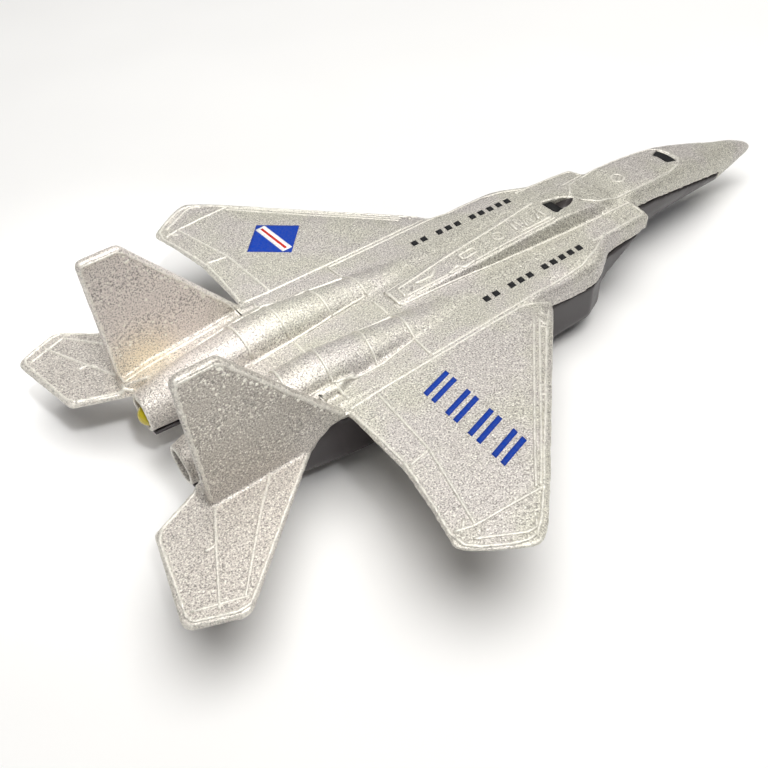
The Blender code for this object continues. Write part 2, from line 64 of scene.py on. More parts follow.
# Stations along the length: x, then the value there
HALF_WIDTH = ((24.2, 8.3), (15.8, 8.6), (12.0, 11.0), (10.5, 11.65), (7.5, 12.0), (-33.0, 12.2),
              (-51.2, 12.6))
DECK = ((24.2, -0.1), (8.0, 0.06), (-33.0, 0.06), (-47.0, -0.95), (-51.2, -2.1))
EDGE_DROP = ((24.2, 0.7), (20.0, 0.3), (12.0, 0.0))
SPINE_TOP = ((24.2, 0.9), (18.0, 1.4), (12.0, 2.0), (0.0, 1.3), (-14.0, 0.5), (-16.3, 0.4), (-16.9, 0.0))
SPINE_WIDTH = ((24.2, 4.9), (12.0, 4.2), (0.0, 3.3), (-16.3, 1.8))
NOZZLE_RADIUS = ((-44.0, 3.2), (-47.0, 3.2), (-51.0, 2.5))
NACELLE_TOP = ((-10.0, 0.0), (-31.0, 3.0), (-35.0, 3.0), (-51.0, 0.75))
FOREBODY = ((20.0, 4.6, 0.6, -1.9), (24.4, 4.9, 1.1, -1.7), (30.0, 4.8, 0.9, -2.2), (37.0, 4.4, 0.3, -3.4),
            (42.0, 4.0, -0.5, -4.4), (46.3, 3.6, -1.5, -5.3), (48.0, 3.4, -2.0, -5.5))
NOSE_CONE = ((46.0, 3.5, -5.3), (47.9, 3.38, -5.4), (50.5, 2.8, -5.65), (54.8, 1.95, -5.95),
             (58.3, 1.05, -6.5), (59.6, 0.5, -6.85))


# Numbers along the length


def at(x, table, column=1, reach=0.0):
    """Value of a table's column at x, averaged over x - reach to x + reach."""
    rows = sorted(table)
    xs = [row[0] for row in rows]
    values = [row[column] for row in rows]
    samples = [np.interp(np.asarray(x) + reach * k, xs, values) for k in (-1, -0.5, 0, 0.5, 1)]
    return sum(samples) / len(samples)


def smooth_max(a, b, width):
    """The larger of two values, rounded where they cross."""
    blend = np.clip(0.5 + 0.5 * (a - b) / width, 0, 1)
    return b * (1 - blend) + a * blend + width * blend * (1 - blend)


def ease(value, low, high):
    """0 below low, 1 above high and a smooth step between them."""
    t = np.clip((value - low) / (high - low), 0, 1)
    return t * t * (3 - 2 * t)


def deck_height(x, y):
    """Height of the casting's top behind the cockpit, at arrays of points."""
    y = np.abs(y)
    deck = at(x, DECK, reach=1.5) - at(x, EDGE_DROP, reach=1.0) * np.clip((y - 5.0) / 3.3, 0, 1)
    fade = np.clip((y / at(x, SPINE_WIDTH, reach=1.0) - 0.72) / 0.28, 0, 1)
    reach = 1.2 * ease(np.abs(x + 16.5), 0.3, 3.0)
    spine = np.maximum(at(x, SPINE_TOP, reach=reach) - at(x, DECK), 0) * (1 - fade * fade * (3 - 2 * fade))
    top = at(x, NACELLE_TOP, reach=1.5)
    inside = np.maximum(NACELLE_R ** 2 - (y - NACELLE_Y) ** 2, 0)
    hump = np.where(inside > 0, top - NACELLE_R + np.sqrt(inside), -9.0)
    return smooth_max(deck + spine, hump, 0.35)


def forebody_height(x, y):
    """Height of the nose's rounded top ahead of the intakes, at arrays of points."""
    half, crown = (at(x, FOREBODY, column, 1.5) for column in (1, 2))
    width = half * np.interp(x, (24.4, 38.0, 47.0), (0.4, 0.5, 1.0))
    depth = np.minimum(crown - at(x, FOREBODY, 3, 1.5), width)
    out = np.clip((np.abs(y) - (half - width)) / width, 0, 1)
    return crown - depth * (1 - np.sqrt(1 - out * out))


# Meshes


def mesh_arrays(mesh):
    """A mesh's points in millimetres, with heights from the wing's top."""
    points = np.empty(len(mesh.vertices) * 3)
    mesh.vertices.foreach_get("co", points)
    points = points.reshape(-1, 3) / MM
    points[:, 2] -= WING_TOP
    return points


def write_points(mesh, points):
    """Writes back points that mesh_arrays gave."""
    world = points.copy()
    world[:, 2] += WING_TOP
    mesh.vertices.foreach_set("co", (world * MM).ravel())
    mesh.update()


def vertex_normals(mesh):
    normals = np.empty(len(mesh.vertices) * 3)
    mesh.vertices.foreach_get("normal", normals)
    return normals.reshape(-1, 3)


def edge_array(mesh):
    edges = np.empty(len(mesh.edges) * 2, np.int32)
    mesh.edges.foreach_get("vertices", edges)
    return edges.reshape(-1, 2)


def neighbour_mean(points, edges):
    """Mean of the points that each point shares an edge with."""
    total = np.zeros_like(points)
    count = np.zeros(len(points))
    for a, b in ((0, 1), (1, 0)):
        np.add.at(total, edges[:, a], points[edges[:, b]])
        np.add.at(count, edges[:, a], 1)
    return total / np.maximum(count, 1)[:, None]


def relax(points, edges, steps, share=0.5, weight=None):
    """Laplacian smoothing; weight limits it to part of the mesh."""
    for _ in range(steps):
        move = (neighbour_mean(points, edges) - points) * share
        points = points + (move if weight is None else move * weight[:, None])
    return points


def finish_object(name, mesh, material, body="airframe"):
    """Object of a mesh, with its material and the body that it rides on."""
    obj = bpy.data.objects.new(name, mesh)
    bpy.context.scene.collection.objects.link(obj)
    mesh.materials.clear()
    mesh.materials.append(material)
    mesh.shade_smooth()
    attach(obj, body)
    return obj


def remeshed(node, voxel):
    """Fine even copy of a CAD node's mesh."""
    source = bpy.data.objects.new("remesh_source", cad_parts[node].data.copy())
    bpy.context.scene.collection.objects.link(source)
    modifier = source.modifiers.new("even", "REMESH")
    modifier.mode = "VOXEL"
    modifier.voxel_size = voxel * MM
    depsgraph = bpy.context.evaluated_depsgraph_get()
    mesh = bpy.data.meshes.new_from_object(source.evaluated_get(depsgraph))
    bpy.data.objects.remove(source)
    for name in [a.name for a in mesh.attributes if a.name.startswith("custom")]:
        mesh.attributes.remove(mesh.attributes[name])
    return mesh


def set_wear(mesh, values):
    """Stores how rubbed each point is, from 0 to 1, for the materials."""
    attribute = mesh.attributes.get("wear") or mesh.attributes.new("wear", "FLOAT", "POINT")
    attribute.data.foreach_set("value", np.asarray(values, np.float32))


def convexity(mesh, points, edges, steps=3):
    """How far each point stands proud of its surroundings, in millimetres."""
    around = relax(points, edges, steps, 0.7)
    return ((points - around) * vertex_normals(mesh)).sum(1)


def rough_noise(points, scale, seed):
    """Smooth noise at each point; scale is in waves per millimetre."""
    return np.array([noise.noise(Vector(p) * scale + Vector((seed, 0, 0))) for p in points])


def solid(name, parts, material, body="airframe", wear=0.0):
    """One object from closed parts, each (points, faces) in millimetres."""
    bm = bmesh.new()
    for points, faces in parts:
        verts = [bm.verts.new((x * MM, y * MM, (z + WING_TOP) * MM)) for x, y, z in points]
        for face in faces:
            bm.faces.new([verts[i] for i in face])
    bmesh.ops.recalc_face_normals(bm, faces=bm.faces)
    mesh = bpy.data.meshes.new(name)
    bm.to_mesh(mesh)
    bm.free()
    obj = finish_object(name, mesh, material, body)
    set_wear(mesh, [wear] * len(mesh.vertices))
    return obj


def tube_faces(rows, columns, closed=False):
    """Faces of a tube of rows, each a loop of columns points; capped unless it is closed."""
    faces = []
    last = rows if closed else rows - 1
    for i in range(last):
        for j in range(columns):
            k = (j + 1) % columns
            n = (i + 1) % rows
            faces.append((i * columns + j, i * columns + k, n * columns + k, n * columns + j))
    if not closed:
        faces.append(tuple(range(columns)))
        faces.append(tuple((rows - 1) * columns + j for j in range(columns)))
    return faces


def turned(profile, centre, axis, segments):
    """Closed solid of revolution about X or Y; profile is (distance along, radius)."""
    points = []
    for k in range(segments):
        angle = 2 * math.pi * k / segments
        for along, radius in profile:
            u, v = radius * math.cos(angle), radius * math.sin(angle)
            offset = (along, u, v) if axis == "X" else (u, along, v)
            points.append(tuple(c + o for c, o in zip(centre, offset)))
    return points, tube_faces(segments, len(profile), closed=True)


# Materials


class Nodes:
    """Short names for adding nodes to a material."""

    def __init__(self, name, roughness, metallic=0.0, specular=0.5):
        self.material = bpy.data.materials.new(name)
        self.material.use_nodes = True
        self.tree = self.material.node_tree
        self.shader = self.tree.nodes["Principled BSDF"]
        self.shader.inputs["Roughness"].default_value = roughness
        self.shader.inputs["Metallic"].default_value = metallic
        self.shader.inputs["Specular IOR Level"].default_value = specular
        self.place = self.tree.nodes.new("ShaderNodeTexCoord").outputs["Object"]

    def along(self):
        """Distance along X, toward the nose."""
        node = self.tree.nodes.new("ShaderNodeSeparateXYZ")
        self.tree.links.new(self.place, node.inputs[0])
        return node.outputs["X"]

    def near(self, place, inner, outer):
        """1 within the inner distance of a place, falling to 0 at the outer one, in mm."""
        node = self.tree.nodes.new("ShaderNodeVectorMath")
        node.operation = "DISTANCE"
        self.tree.links.new(self.place, node.inputs[0])
        node.inputs[1].default_value = tuple(c * MM for c in place)
        return self.ramp(node.outputs["Value"], outer * MM, inner * MM)

    def noise(self, millimetres, detail=2.0, rough=0.5):
        node = self.tree.nodes.new("ShaderNodeTexNoise")
        node.inputs["Scale"].default_value = 1 / (millimetres * MM)
        node.inputs["Detail"].default_value = detail
        node.inputs["Roughness"].default_value = rough
        self.tree.links.new(self.place, node.inputs["Vector"])
        return node.outputs["Fac"]

    def ramp(self, value, low, high, out_low=0.0, out_high=1.0):
        node = self.tree.nodes.new("ShaderNodeMapRange")
        node.interpolation_type = "SMOOTHSTEP"
        numbers = {"From Min": low, "From Max": high, "To Min": out_low, "To Max": out_high}
        for socket, number in numbers.items():
            node.inputs[socket].default_value = number
        self.tree.links.new(value, node.inputs["Value"])
        return node.outputs["Result"]

    def math(self, operation, a, b):
        node = self.tree.nodes.new("ShaderNodeMath")
        node.operation = operation
        for socket, value in zip(node.inputs, (a, b)):
            if isinstance(value, (int, float)):
                socket.default_value = value
            else:
                self.tree.links.new(value, socket)
        return node.outputs[0]

    def mix(self, factor, a, b):
        node = self.tree.nodes.new("ShaderNodeMix")
        node.data_type = "RGBA"
        self.tree.links.new(factor, node.inputs["Factor"])
        for socket, value in ((node.inputs[6], a), (node.inputs[7], b)):
            if isinstance(value, tuple):
                socket.default_value = (*value, 1.0)
            else:
                self.tree.links.new(value, socket)
        return node.outputs[2]

    def attribute(self, name):
        node = self.tree.nodes.new("ShaderNodeAttribute")
        node.attribute_name = name
        return node.outputs["Fac"]

    def bump(self, height, strength, millimetres, under=None):
        node = self.tree.nodes.new("ShaderNodeBump")
        node.inputs["Strength"].default_value = strength
        node.inputs["Distance"].default_value = millimetres * MM
        self.tree.links.new(height, node.inputs["Height"])
        if under:
            self.tree.links.new(under, node.inputs["Normal"])
        return node.outputs["Normal"]

    def out(self, **sockets):
        for name, value in sockets.items():
            self.tree.links.new(value, self.shader.inputs[name.replace("_", " ")])
        return self.material


def silver_paint():
    """Metallic paint over a rough casting: grain, faint warm and mauve tints, bright ridges, and painted
    light and shade on the fins.
    """
    n = Nodes("silver_paint", 0.45, metallic=0.35)
    grain = n.noise(0.19, 2.0, 0.6)
    pits = n.noise(0.55, 2.0, 0.6)
    patches = n.noise(9.0, 3.0, 0.55)
    tint = n.mix(n.ramp(patches, 0.38, 0.62), (0.60, 0.58, 0.50), (0.60, 0.56, 0.535))
    tint = n.mix(n.ramp(n.along(), -30 * MM, -38 * MM), tint, (0.62, 0.572, 0.528))
    # Painted highlight on the left fin, painted shade on the right one; the left one's foot is lighter and
    # warmer cream
    tint = n.mix(n.near((-44, 12, 20), 6, 13), tint, (0.78, 0.71, 0.675))
    tint = n.mix(n.near((-44, -12, 21), 7, 12), tint, (0.50, 0.46, 0.41))
    tint = n.mix(n.near((-47, 11, 12), 1, 7), tint, (0.84, 0.745, 0.60))
    dark = n.mix(n.ramp(grain, 0.33, 0.52), (0.24, 0.225, 0.205), tint)
    flakes = n.mix(n.ramp(grain, 0.55, 0.68), dark, (0.92, 0.90, 0.82))
    ridge = n.math("MULTIPLY", n.attribute("wear"), n.ramp(pits, 0.25, 0.6, 0.45, 1.0))
    colour = n.mix(ridge, flakes, (0.95, 0.925, 0.84))
    height = n.math("ADD", grain, n.math("MULTIPLY", pits, 0.8))
    return n.out(Base_Color=colour, Roughness=n.ramp(pits, 0.3, 0.7, 0.34, 0.5),
                 Normal=n.bump(height, 0.55, 0.12))


def moulded_plastic(name, colour, lighter, roughness, grain=0.25, depth=0.05, specular=0.5):
    """Moulded plastic: fine texture, faint flow marks and lighter rubbed edges."""
    n = Nodes(name, roughness, specular=specular)
    fine = n.noise(grain, 3.0, 0.6)
    flow = n.noise(5.0, 4.0, 0.6)
    rubbed = n.math("MULTIPLY", n.attribute("wear"), n.ramp(fine, 0.3, 0.7, 0.3, 1.0))
    base = n.mix(n.ramp(flow, 0.35, 0.65, 0.0, 0.5), colour, lighter)
    return n.out(Base_Color=n.mix(rubbed, base, tuple(min(c * 2.2, 1.0) for c in lighter)),
                 Roughness=n.ramp(flow, 0.3, 0.7, roughness - 0.06, roughness + 0.1),
                 Normal=n.bump(fine, 0.3, depth))


def printed_ink(name, colour):
    """Pad-printed ink: flat colour that breaks up slightly over the casting's grain."""
    n = Nodes(name, 0.55, specular=0.15)
    grain = n.noise(0.34, 3.0, 0.65)
    faded = tuple(c * 0.8 + 0.02 for c in colour)
    return n.out(Base_Color=n.mix(n.ramp(grain, 0.35, 0.65), faded, colour),
                 Roughness=n.ramp(grain, 0.3, 0.7, 0.48, 0.65), Normal=n.bump(grain, 0.3, 0.05))


def drawn_steel():
    n = Nodes("drawn_steel", 0.3, metallic=1.0)
    streaks = n.noise(0.4, 4.0, 0.7)
    return n.out(Base_Color=n.mix(n.ramp(streaks, 0.3, 0.7), (0.42, 0.42, 0.43), (0.62, 0.61, 0.6)),
                 Roughness=n.ramp(streaks, 0.3, 0.7, 0.22, 0.42), Normal=n.bump(streaks, 0.2, 0.02))


def floor_material():
    n = Nodes("studio_floor", 0.9, specular=0.1)
    return n.out(Base_Color=n.mix(n.ramp(n.noise(60.0), 0.3, 0.7), (0.92, 0.92, 0.92), (0.95, 0.95, 0.95)))


SILVER = silver_paint()
CHARCOAL = moulded_plastic("charcoal_plastic_look", (0.036, 0.030, 0.032), (0.060, 0.052, 0.054), 0.36)
BLACK = moulded_plastic("black_plastic_look", (0.012, 0.012, 0.013), (0.020, 0.020, 0.021), 0.55,
                        specular=0.2)
YELLOW = moulded_plastic("yellow_plastic_look", (0.50, 0.40, 0.012), (0.56, 0.46, 0.03), 0.22, 0.6, 0.02)
STEEL = drawn_steel()
BLUE_INK = printed_ink("blue_ink", (0.002, 0.045, 0.38))
BLACK_INK = printed_ink("black_ink", (0.012, 0.012, 0.014))
WHITE_INK = printed_ink("white_ink", (0.88, 0.88, 0.88))
RED_INK = printed_ink("red_ink", (0.62, 0.03, 0.02))


# Cast upper body


def shaped_top(points, normals):
    """Moves the fine mesh from the CAD facets to the smooth surfaces that they stand for."""
    x, y, z = points.T
    side = np.abs(y)
    up = normals[:, 2]
    half = at(x, HALF_WIDTH)
    limit = np.where(x < -31.5, 11.3, half - 0.7 - 1.4 * np.interp(x, (-2.0, 1.0), (0.0, 1.0)))
    socket = (x > 11.0) & (x < 17.6) & (side < 2.3)
    target = deck_height(x, y)
    on_deck = (x > -44.6) & (x < 19.5) & (up > 0.12) & (np.abs(z - target) < 0.8) & ~socket
    weight = on_deck * (1 - ease(side, limit - 0.6, limit)) * ease(-x, -19.5, -17.5)
    points[:, 2] = z + (target - z) * weight
    z = points[:, 2].copy()
    target = forebody_height(x, y)
    half = at(x, FOREBODY, 1)
    slot = (x > 34.6) & (x < 38.6) & (side < 2.8)
    on_nose = (x > 20.5) & (x < 48.5) & (up > 0.12) & (np.abs(z - target) < 0.7) & ~slot & (side < half)
    weight = on_nose * ease(x, 20.5, 25.0) * (1 - ease(x, 46.5, 48.5))
    weight = weight * (1 - ease(side, half - 0.7, half - 0.25))
    points[:, 2] = z + (target - z) * weight
    radius, centre = (at(x, NOSE_CONE, column, 0.8) for column in (1, 2))
    offset = points[:, 2] - centre
    distance = np.maximum(np.hypot(y, offset), 1e-6)
    weight = (x > 46.5) * ease(x, 47.0, 49.0) * (1 - ease(x, 58.6, 59.4)) * (np.abs(distance - radius) < 0.8)
    scale = 1 + (radius / distance - 1) * weight
    points[:, 1] = y * scale
    points[:, 2] = centre + offset * scale
    return points


def round_nozzles(points):
    """Makes the nozzles' faceted walls round."""
    x, y, z = points.T
    axis_z = at(x, NACELLE_TOP) - NACELLE_R
    out_y = np.abs(y) - NACELLE_Y
    out_z = z - axis_z
    distance = np.maximum(np.hypot(out_y, out_z), 1e-6)
    for radius in (at(x, NOZZLE_RADIUS), np.full(len(x), NOZZLE_BORE)):
        near = (x < -45.2) & (np.abs(distance - radius) < 0.14)
        scale = np.where(near, radius / distance, 1.0)
        points[:, 1] = np.where(near, np.sign(y) * (NACELLE_Y + out_y * scale), points[:, 1])
        points[:, 2] = np.where(near, axis_z + out_z * scale, points[:, 2])
    return points


def cast_skin():
    """The casting: a fine skin with lumps, and chips along its edges."""
    mesh = remeshed("upper_body", SKIN_VOXEL)
    points = mesh_arrays(mesh)
    edges = edge_array(mesh)
    points = shaped_top(points, vertex_normals(mesh))
    points = round_nozzles(points)
    points = relax(points, edges, 3)
    write_points(mesh, points)
    normals = vertex_normals(mesh)
    proud = convexity(mesh, points, edges, 5)
    edge = ease(proud, 0.02, 0.09)
    lumps = rough_noise(points, 0.9, 3.0)
    chips = rough_noise(points, 2.2, 11.0)
    swell = 0.02 * lumps + edge * (0.05 * chips + 0.03 * lumps)
    points = points + normals * swell[:, None]
    write_points(mesh, points)
    fin = (points[:, 2] > 0.6) & (points[:, 0] < -32)
    patchy = np.where(fin, ease(chips, -0.15, 0.35), 0.75 + 0.4 * lumps)
    set_wear(mesh, np.clip(edge * patchy, 0, 1))
    skin = finish_object("cast_upper_body", mesh, SILVER)
    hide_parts("upper_body")
    return skin


def surface_tree(obj):
    """Search tree of an object's mesh in millimetres."""
    points = mesh_arrays(obj.data)
    faces = [tuple(face.vertices) for face in obj.data.polygons]
    return BVHTree.FromPolygons([Vector(p) for p in points], faces)


def touch(tree, u, v, way="down"):
    """Point and normal of the surface met at (x, y) from above or below, or at (x, z) sideways.

    A sideways way is (y where the probe starts, direction along Y).
    """
    if way == "down":
        start, direction = Vector((u, v, 30.0)), Vector((0, 0, -1))
    elif way == "up":
        start, direction = Vector((u, v, -30.0)), Vector((0, 0, 1))
    else:
        start, direction = Vector((u, way[0], v)), Vector((0, way[1], 0))
    place, normal, _, _ = tree.ray_cast(start, direction)
    if place is None:
        return None
    return place, normal if normal.dot(direction) < 0 else -normal


def spaced(path, step):
    """Points along a polyline, about step apart."""
    result = [Vector(path[0])]
    for a, b in zip(path, path[1:]):
        a, b = Vector(a), Vector(b)
        count = max(1, round((b - a).length / step))
        result += [a.lerp(b, k / count) for k in range(1, count + 1)]
    return result


def ridge(tree, path, width=0.5, height=0.13, step=0.45, way="down", closed=False, rough=0.25):
    """Raised line that follows a path on a surface; rough is how much its size varies."""
    flat = spaced(path, step)
    if closed:
        flat = flat[:-1]
    section = ((-0.5, -0.5), (-0.5, 0.0), (-0.3, 0.75), (0.0, 1.0), (0.3, 0.75), (0.5, 0.0), (0.5, -0.5))
    points = []
    placed = [found for found in (touch(tree, p.x, p.y, way) for p in flat) if found]
    sizes = [1 + rough * noise.noise(place * 1.7) * 1.6 for place, _ in placed]
    for i, (place, normal) in enumerate(placed):
        before = placed[i - 1][0] if i or closed else place
        after = placed[(i + 1) % len(placed)][0] if i + 1 < len(placed) or closed else place
        along = (after - before).normalized()
        across = along.cross(normal).normalized()
        for u, v in section:
            lift = height * sizes[i] * v if v > 0 else 0.2 * v
            points.append(tuple(place + across * u * width * sizes[i] + normal * lift))
    return points, tube_faces(len(placed), len(section), closed)


def both_sides(paths):
    """The paths and their mirror images across the centre line."""
    return paths + [[(x, -y) for x, y in path] for path in paths]


def circle(x, y, radius, count=18):
    angles = [2 * math.pi * k / count for k in range(count + 1)]
    return [(x + radius * math.cos(a), y + radius * math.sin(a)) for a in angles]


def stud(tree, x, y, radius, height, way="down"):
    """Low round bump on a surface."""
    place, normal = touch(tree, x, y, way)
    side = normal.orthogonal().normalized()
    across = normal.cross(side)
    rings = ((1.0, -0.3), (1.0, 0.0), (0.8, 0.6), (0.45, 0.93), (0.1, 1.0))
    points = []
    for share, lift in rings:
        for k in range(12):
            angle = 2 * math.pi * k / 12
            offset = (side * math.cos(angle) + across * math.sin(angle)) * radius * share
            points.append(tuple(place + offset + normal * height * lift))
    return points, tube_faces(len(rings), 12)


# Raised lines on the left side or the centre, as x and y


WING_LINES = [
    [(-31.9, 12.6), (-27.7, 12.3), (-9.5, 11.9), (-3.95, 11.9), (-0.6, 12.6), (0.1, 12.9)],
    [(-27.9, 12.5), (-28.5, 23.1), (-31.1, 33.9)],
    [(-28.5, 23.1), (-31.6, 23.6)],
    [(-33.4, 33.2), (-31.1, 33.9), (-21.9, 34.6)],
    [(-33.0, 33.9), (-31.5, 32.6)],
    [(-4.4, 14.3), (-12.8, 23.2), (-18.7, 29.5), (-23.0, 34.2)],
    [(-3.7, 14.6), (-12.0, 23.4), (-18.0, 29.8), (-22.4, 34.3)],
    [(-12.2, 23.3), (-11.6, 23.7), (-11.3, 24.0)],
    [(-13.2, 24.6), (-12.6, 24.8), (-12.2, 25.0)],
    [(-4.0, 14.9), (-4.0, 15.6), (-3.4, 16.0)],
    [(-4.8, 15.8), (-4.2, 16.2), (-3.9, 16.6)],
    [(-2.9, 13.6), (-2.6, 14.5), (-1.8, 14.8)],
    [(-32.4, 35.0), (-30.0, 36.4), (-27.6, 37.8), (-26.4, 37.9), (-25.6, 37.0)],
]
WING_RIMS = [
    [(-32.1, 13.1), (-31.8, 18.9), (-31.8, 22.8), (-32.2, 25.5), (-33.0, 29.7), (-33.8, 33.1), (-33.5, 35.0),
     (-32.3, 36.2), (-29.8, 37.8), (-28.2, 38.5), (-26.9, 38.5), (-25.4, 37.5), (-21.6, 34.0)],
    [(-21.6, 34.0), (-19.6, 31.9), (-12.7, 25.1), (-11.3, 23.6), (-3.6, 15.9), (-1.3, 13.9)],
]
TAIL_LINES = [
    [(-50.6, 13.2), (-53.2, 18.3), (-56.2, 24.6)],
    [(-43.5, 13.1), (-46.9, 16.8), (-53.5, 25.0)],
    [(-58.6, 23.0), (-52.9, 25.1)],
    [(-52.0, 16.5), (-53.0, 17.6), (-54.2, 17.6)],
]
TAIL_RIMS = [
    [(-39.6, 14.1), (-47.9, 21.2), (-52.0, 24.8), (-53.4, 25.9), (-54.8, 25.9), (-58.9, 24.1), (-59.2, 23.2),
     (-57.4, 13.5), (-56.6, 12.2)],
    [(-56.6, 12.2), (-52.9, 10.7), (-50.9, 9.8), (-50.0, 9.2)],
]
BODY_LINES = [
    [(-19.0, 11.5), (-9.5, 11.3), (-4.0, 11.2), (2.0, 11.0), (8.0, 10.7), (12.0, 9.4), (15.0, 7.9)],
    [(-16.3, 1.7), (-8.0, 2.4), (0.0, 3.25), (8.0, 3.95), (14.0, 4.4), (20.0, 4.75), (23.8, 4.95)],
    [(-14.8, 0.9), (-6.0, 1.6), (3.0, 1.9), (11.0, 2.4)],
    [(-36.8, 10.9), (-44.4, 10.9), (-44.8, 10.5), (-50.6, 10.6)],
    [(12.6, 8.0), (17.0, 7.9), (23.4, 7.6), (23.7, 7.3), (23.7, 5.4)],
    [(17.0, 0.9), (19.0, 2.9), (22.0, 3.6), (26.0, 3.8), (30.0, 3.75), (34.0, 3.5), (36.6, 2.9), (37.9, 1.5),
     (38.2, 0.0)],
]
HUMP_BANDS = [
    [(-18.6, 2.8), (-24.5, 2.3), (-31.0, 1.7), (-37.0, 1.4)],
    [(-18.4, 2.7), (-18.4, 4.0), (-18.5, 5.3), (-18.7, 6.6), (-18.8, 8.4), (-19.0, 11.4)],
    [(-24.4, 2.3), (-24.5, 4.0), (-24.6, 5.3), (-24.8, 6.6), (-25.0, 8.3), (-25.2, 9.4)],
    [(-31.0, 2.1), (-31.1, 4.0), (-31.2, 5.3), (-31.3, 6.6), (-31.4, 8.4), (-31.0, 11.3)],
    [(-36.5, 2.1), (-36.6, 4.0), (-36.7, 5.3), (-36.8, 6.6), (-36.9, 8.4)],
    [(-31.4, 8.9), (-24.6, 9.0), (-18.8, 8.0)],
]
CENTRE_LINES = [
    [(-16.3, -1.7), (-16.3, 1.7)],
    [(-14.8, -0.9), (-14.8, 0.9)],
    [(-18.5, -1.9), (-18.5, 1.1)],
    [(-30.8, -1.4), (-30.8, 1.2)],
    [(5.0, -0.9), (5.2, 0.9)],
    [(6.0, -1.0), (5.9, 0.9)],
    [(6.6, -1.2), (7.2, 0.6)],
    [(7.9, -1.3), (7.6, 0.5)],
    [(8.8, -1.2), (9.4, 0.2)],
    [(10.2, -1.1), (9.9, 0.6)],
    [(5.0, -1.5), (10.6, -1.9)],
    [(-4.5, -0.5), (-2.0, -0.5), (-2.0, 0.6), (-4.5, 0.6), (-4.5, -0.5)],
    [(-7.9, -1.5), (-6.0, -0.9), (-5.4, -1.9), (-3.3, -1.7)],
    [(-12.5, 0.2), (-9.8, -0.2), (-8.4, 0.7)],
]
# Rims of a fin's face, as x and height
FIN_RIM = [(-33.2, 0.2), (-36.6, 4.5), (-40.6, 9.6), (-45.1, 15.4), (-45.9, 15.9), (-50.0, 15.9),
           (-50.4, 15.3), (-50.5, 9.0), (-50.6, 0.0), (-50.6, -1.6)]
# Where a sideways probe starts and which way along Y it goes, for each fin face
FIN_WAYS = ((-20.0, 1), (9.0, 1), (20.0, -1), (-9.0, -1))


def fin_relief(tree):
    """Rims round both faces of each fin, and the bright specks near the front edge and on the faces."""
    edge_specks, face_specks = 26, 22
    rims, specks = [], []
    for way in FIN_WAYS:
        rims.append(ridge(tree, FIN_RIM, 0.36, 0.07, 0.35, way, rough=0.5))
        for _ in range(edge_specks):
            share = random.random()
            x = -34.0 - 12.0 * share + random.uniform(-0.3, 0.2)
            z = 0.8 + 15.0 * share + random.uniform(-0.5, 0.1)
            if touch(tree, x, z, way):
                specks.append(stud(tree, x, z, random.uniform(0.1, 0.26), random.uniform(0.03, 0.07), way))
        for _ in range(face_specks):
            x, z = random.uniform(-50.2, -40.5), random.uniform(1.0, 15.5)
            face_top = 15.0 + (x - FIN_CORNER_X) * FIN_TOP_SLOPE * (x > FIN_CORNER_X)
            if touch(tree, x, z, way) and z < face_top:
                specks.append(stud(tree, x, z, random.uniform(0.1, 0.2), random.uniform(0.03, 0.06), way))
    return rims, specks


def panel_lines(tree):
    """Raised lines, rims and rivets of the wings, tailplanes, fuselage, humps and fins."""
    parts = [ridge(tree, path, 0.42, 0.12) for path in both_sides(WING_LINES)]
    parts += [ridge(tree, path, 0.45, 0.14, 0.35, rough=0.6) for path in both_sides(WING_RIMS + TAIL_RIMS)]
    parts += [ridge(tree, path, 0.38, 0.09) for path in both_sides(TAIL_LINES)]
    for side in (1, -1):
        for k in range(8):
            parts.append(stud(tree, -31.0 + 0.43 * k, side * (36.4 + 0.29 * k), 0.2, 0.14))
    solid("wing_and_tail_lines", parts, SILVER, wear=0.65)
    parts = [ridge(tree, path, 0.4, 0.15, rough=0.6) for path in CENTRE_LINES]
    solid("spine_relief", parts, SILVER, wear=0.8)
    parts = [ridge(tree, path, 0.4, 0.09) for path in both_sides(BODY_LINES)]
    parts.append(ridge(tree, circle(2.2, 0.1, 0.75), 0.3, 0.1, 0.25, closed=True))
    parts.append(ridge(tree, circle(25.8, -0.3, 1.0), 0.35, 0.1, 0.3, closed=True))
    for side in (1, -1):
        for x in (-33.7, -40.4, -46.8):
            parts.append(stud(tree, x, side * 10.4, 0.22, 0.1))
    solid("body_lines", parts, SILVER, wear=0.6)
    parts = [ridge(tree, path, 0.4, 0.2) for path in both_sides(HUMP_BANDS)]
    solid("hump_bands", parts, SILVER, wear=0.7)
    rims, specks = fin_relief(tree)
    solid("fin_rims", rims, SILVER, wear=0.55)
    solid("fin_specks", specks, SILVER, wear=1.0)


def canopy_seats(tree):
    """Painted shade: black in the canopy slot, where the dark plastic below partly shows, and in the rear
    socket's corner; and the socket's ramp.
    """
    inner, outer, half_angle, centre_x = 4.3, 5.9, math.radians(19), 31.6
    steps = [half_angle * (k / 6 - 1) for k in range(13)]
    arc = [(centre_x + outer * math.cos(a), outer * math.sin(a)) for a in steps]
    arc += [(centre_x + inner * math.cos(a), inner * math.sin(a)) for a in reversed(steps)]
    # Black piece in the slot: the dark plastic below, with painted shade for the deep slot
    slot = ([(x, y, z) for z in (-1.75, 0.12) for x, y in arc], tube_faces(2, len(arc)))
    socket_floor, ramp_foot = -0.58, 13.45
    outline = ((11.95, -1.48), (ramp_foot, -1.2), (ramp_foot, 1.2), (11.95, 1.48))
    # Black block in the socket's corner: painted shade
    corner = ([(x, y, z) for z in (socket_floor, 1.55) for x, y in outline], tube_faces(2, 4))
    solid("canopy_seat_shadow", [slot, corner], BLACK)
    plan = ((ramp_foot, 1.3), (15.2, 0.95), (16.6, 0.1), (16.6, -0.1), (15.2, -0.95), (ramp_foot, -1.3))
    low = [(x, y, socket_floor) for x, y in plan]
    high = [(x, y, 0.55 + (x - ramp_foot) * 0.27) for x, y in plan]
    ramp = (low + high, tube_faces(2, len(plan)))
    solid("canopy_socket_ramp", [ramp], CHARCOAL)


# Printed marks


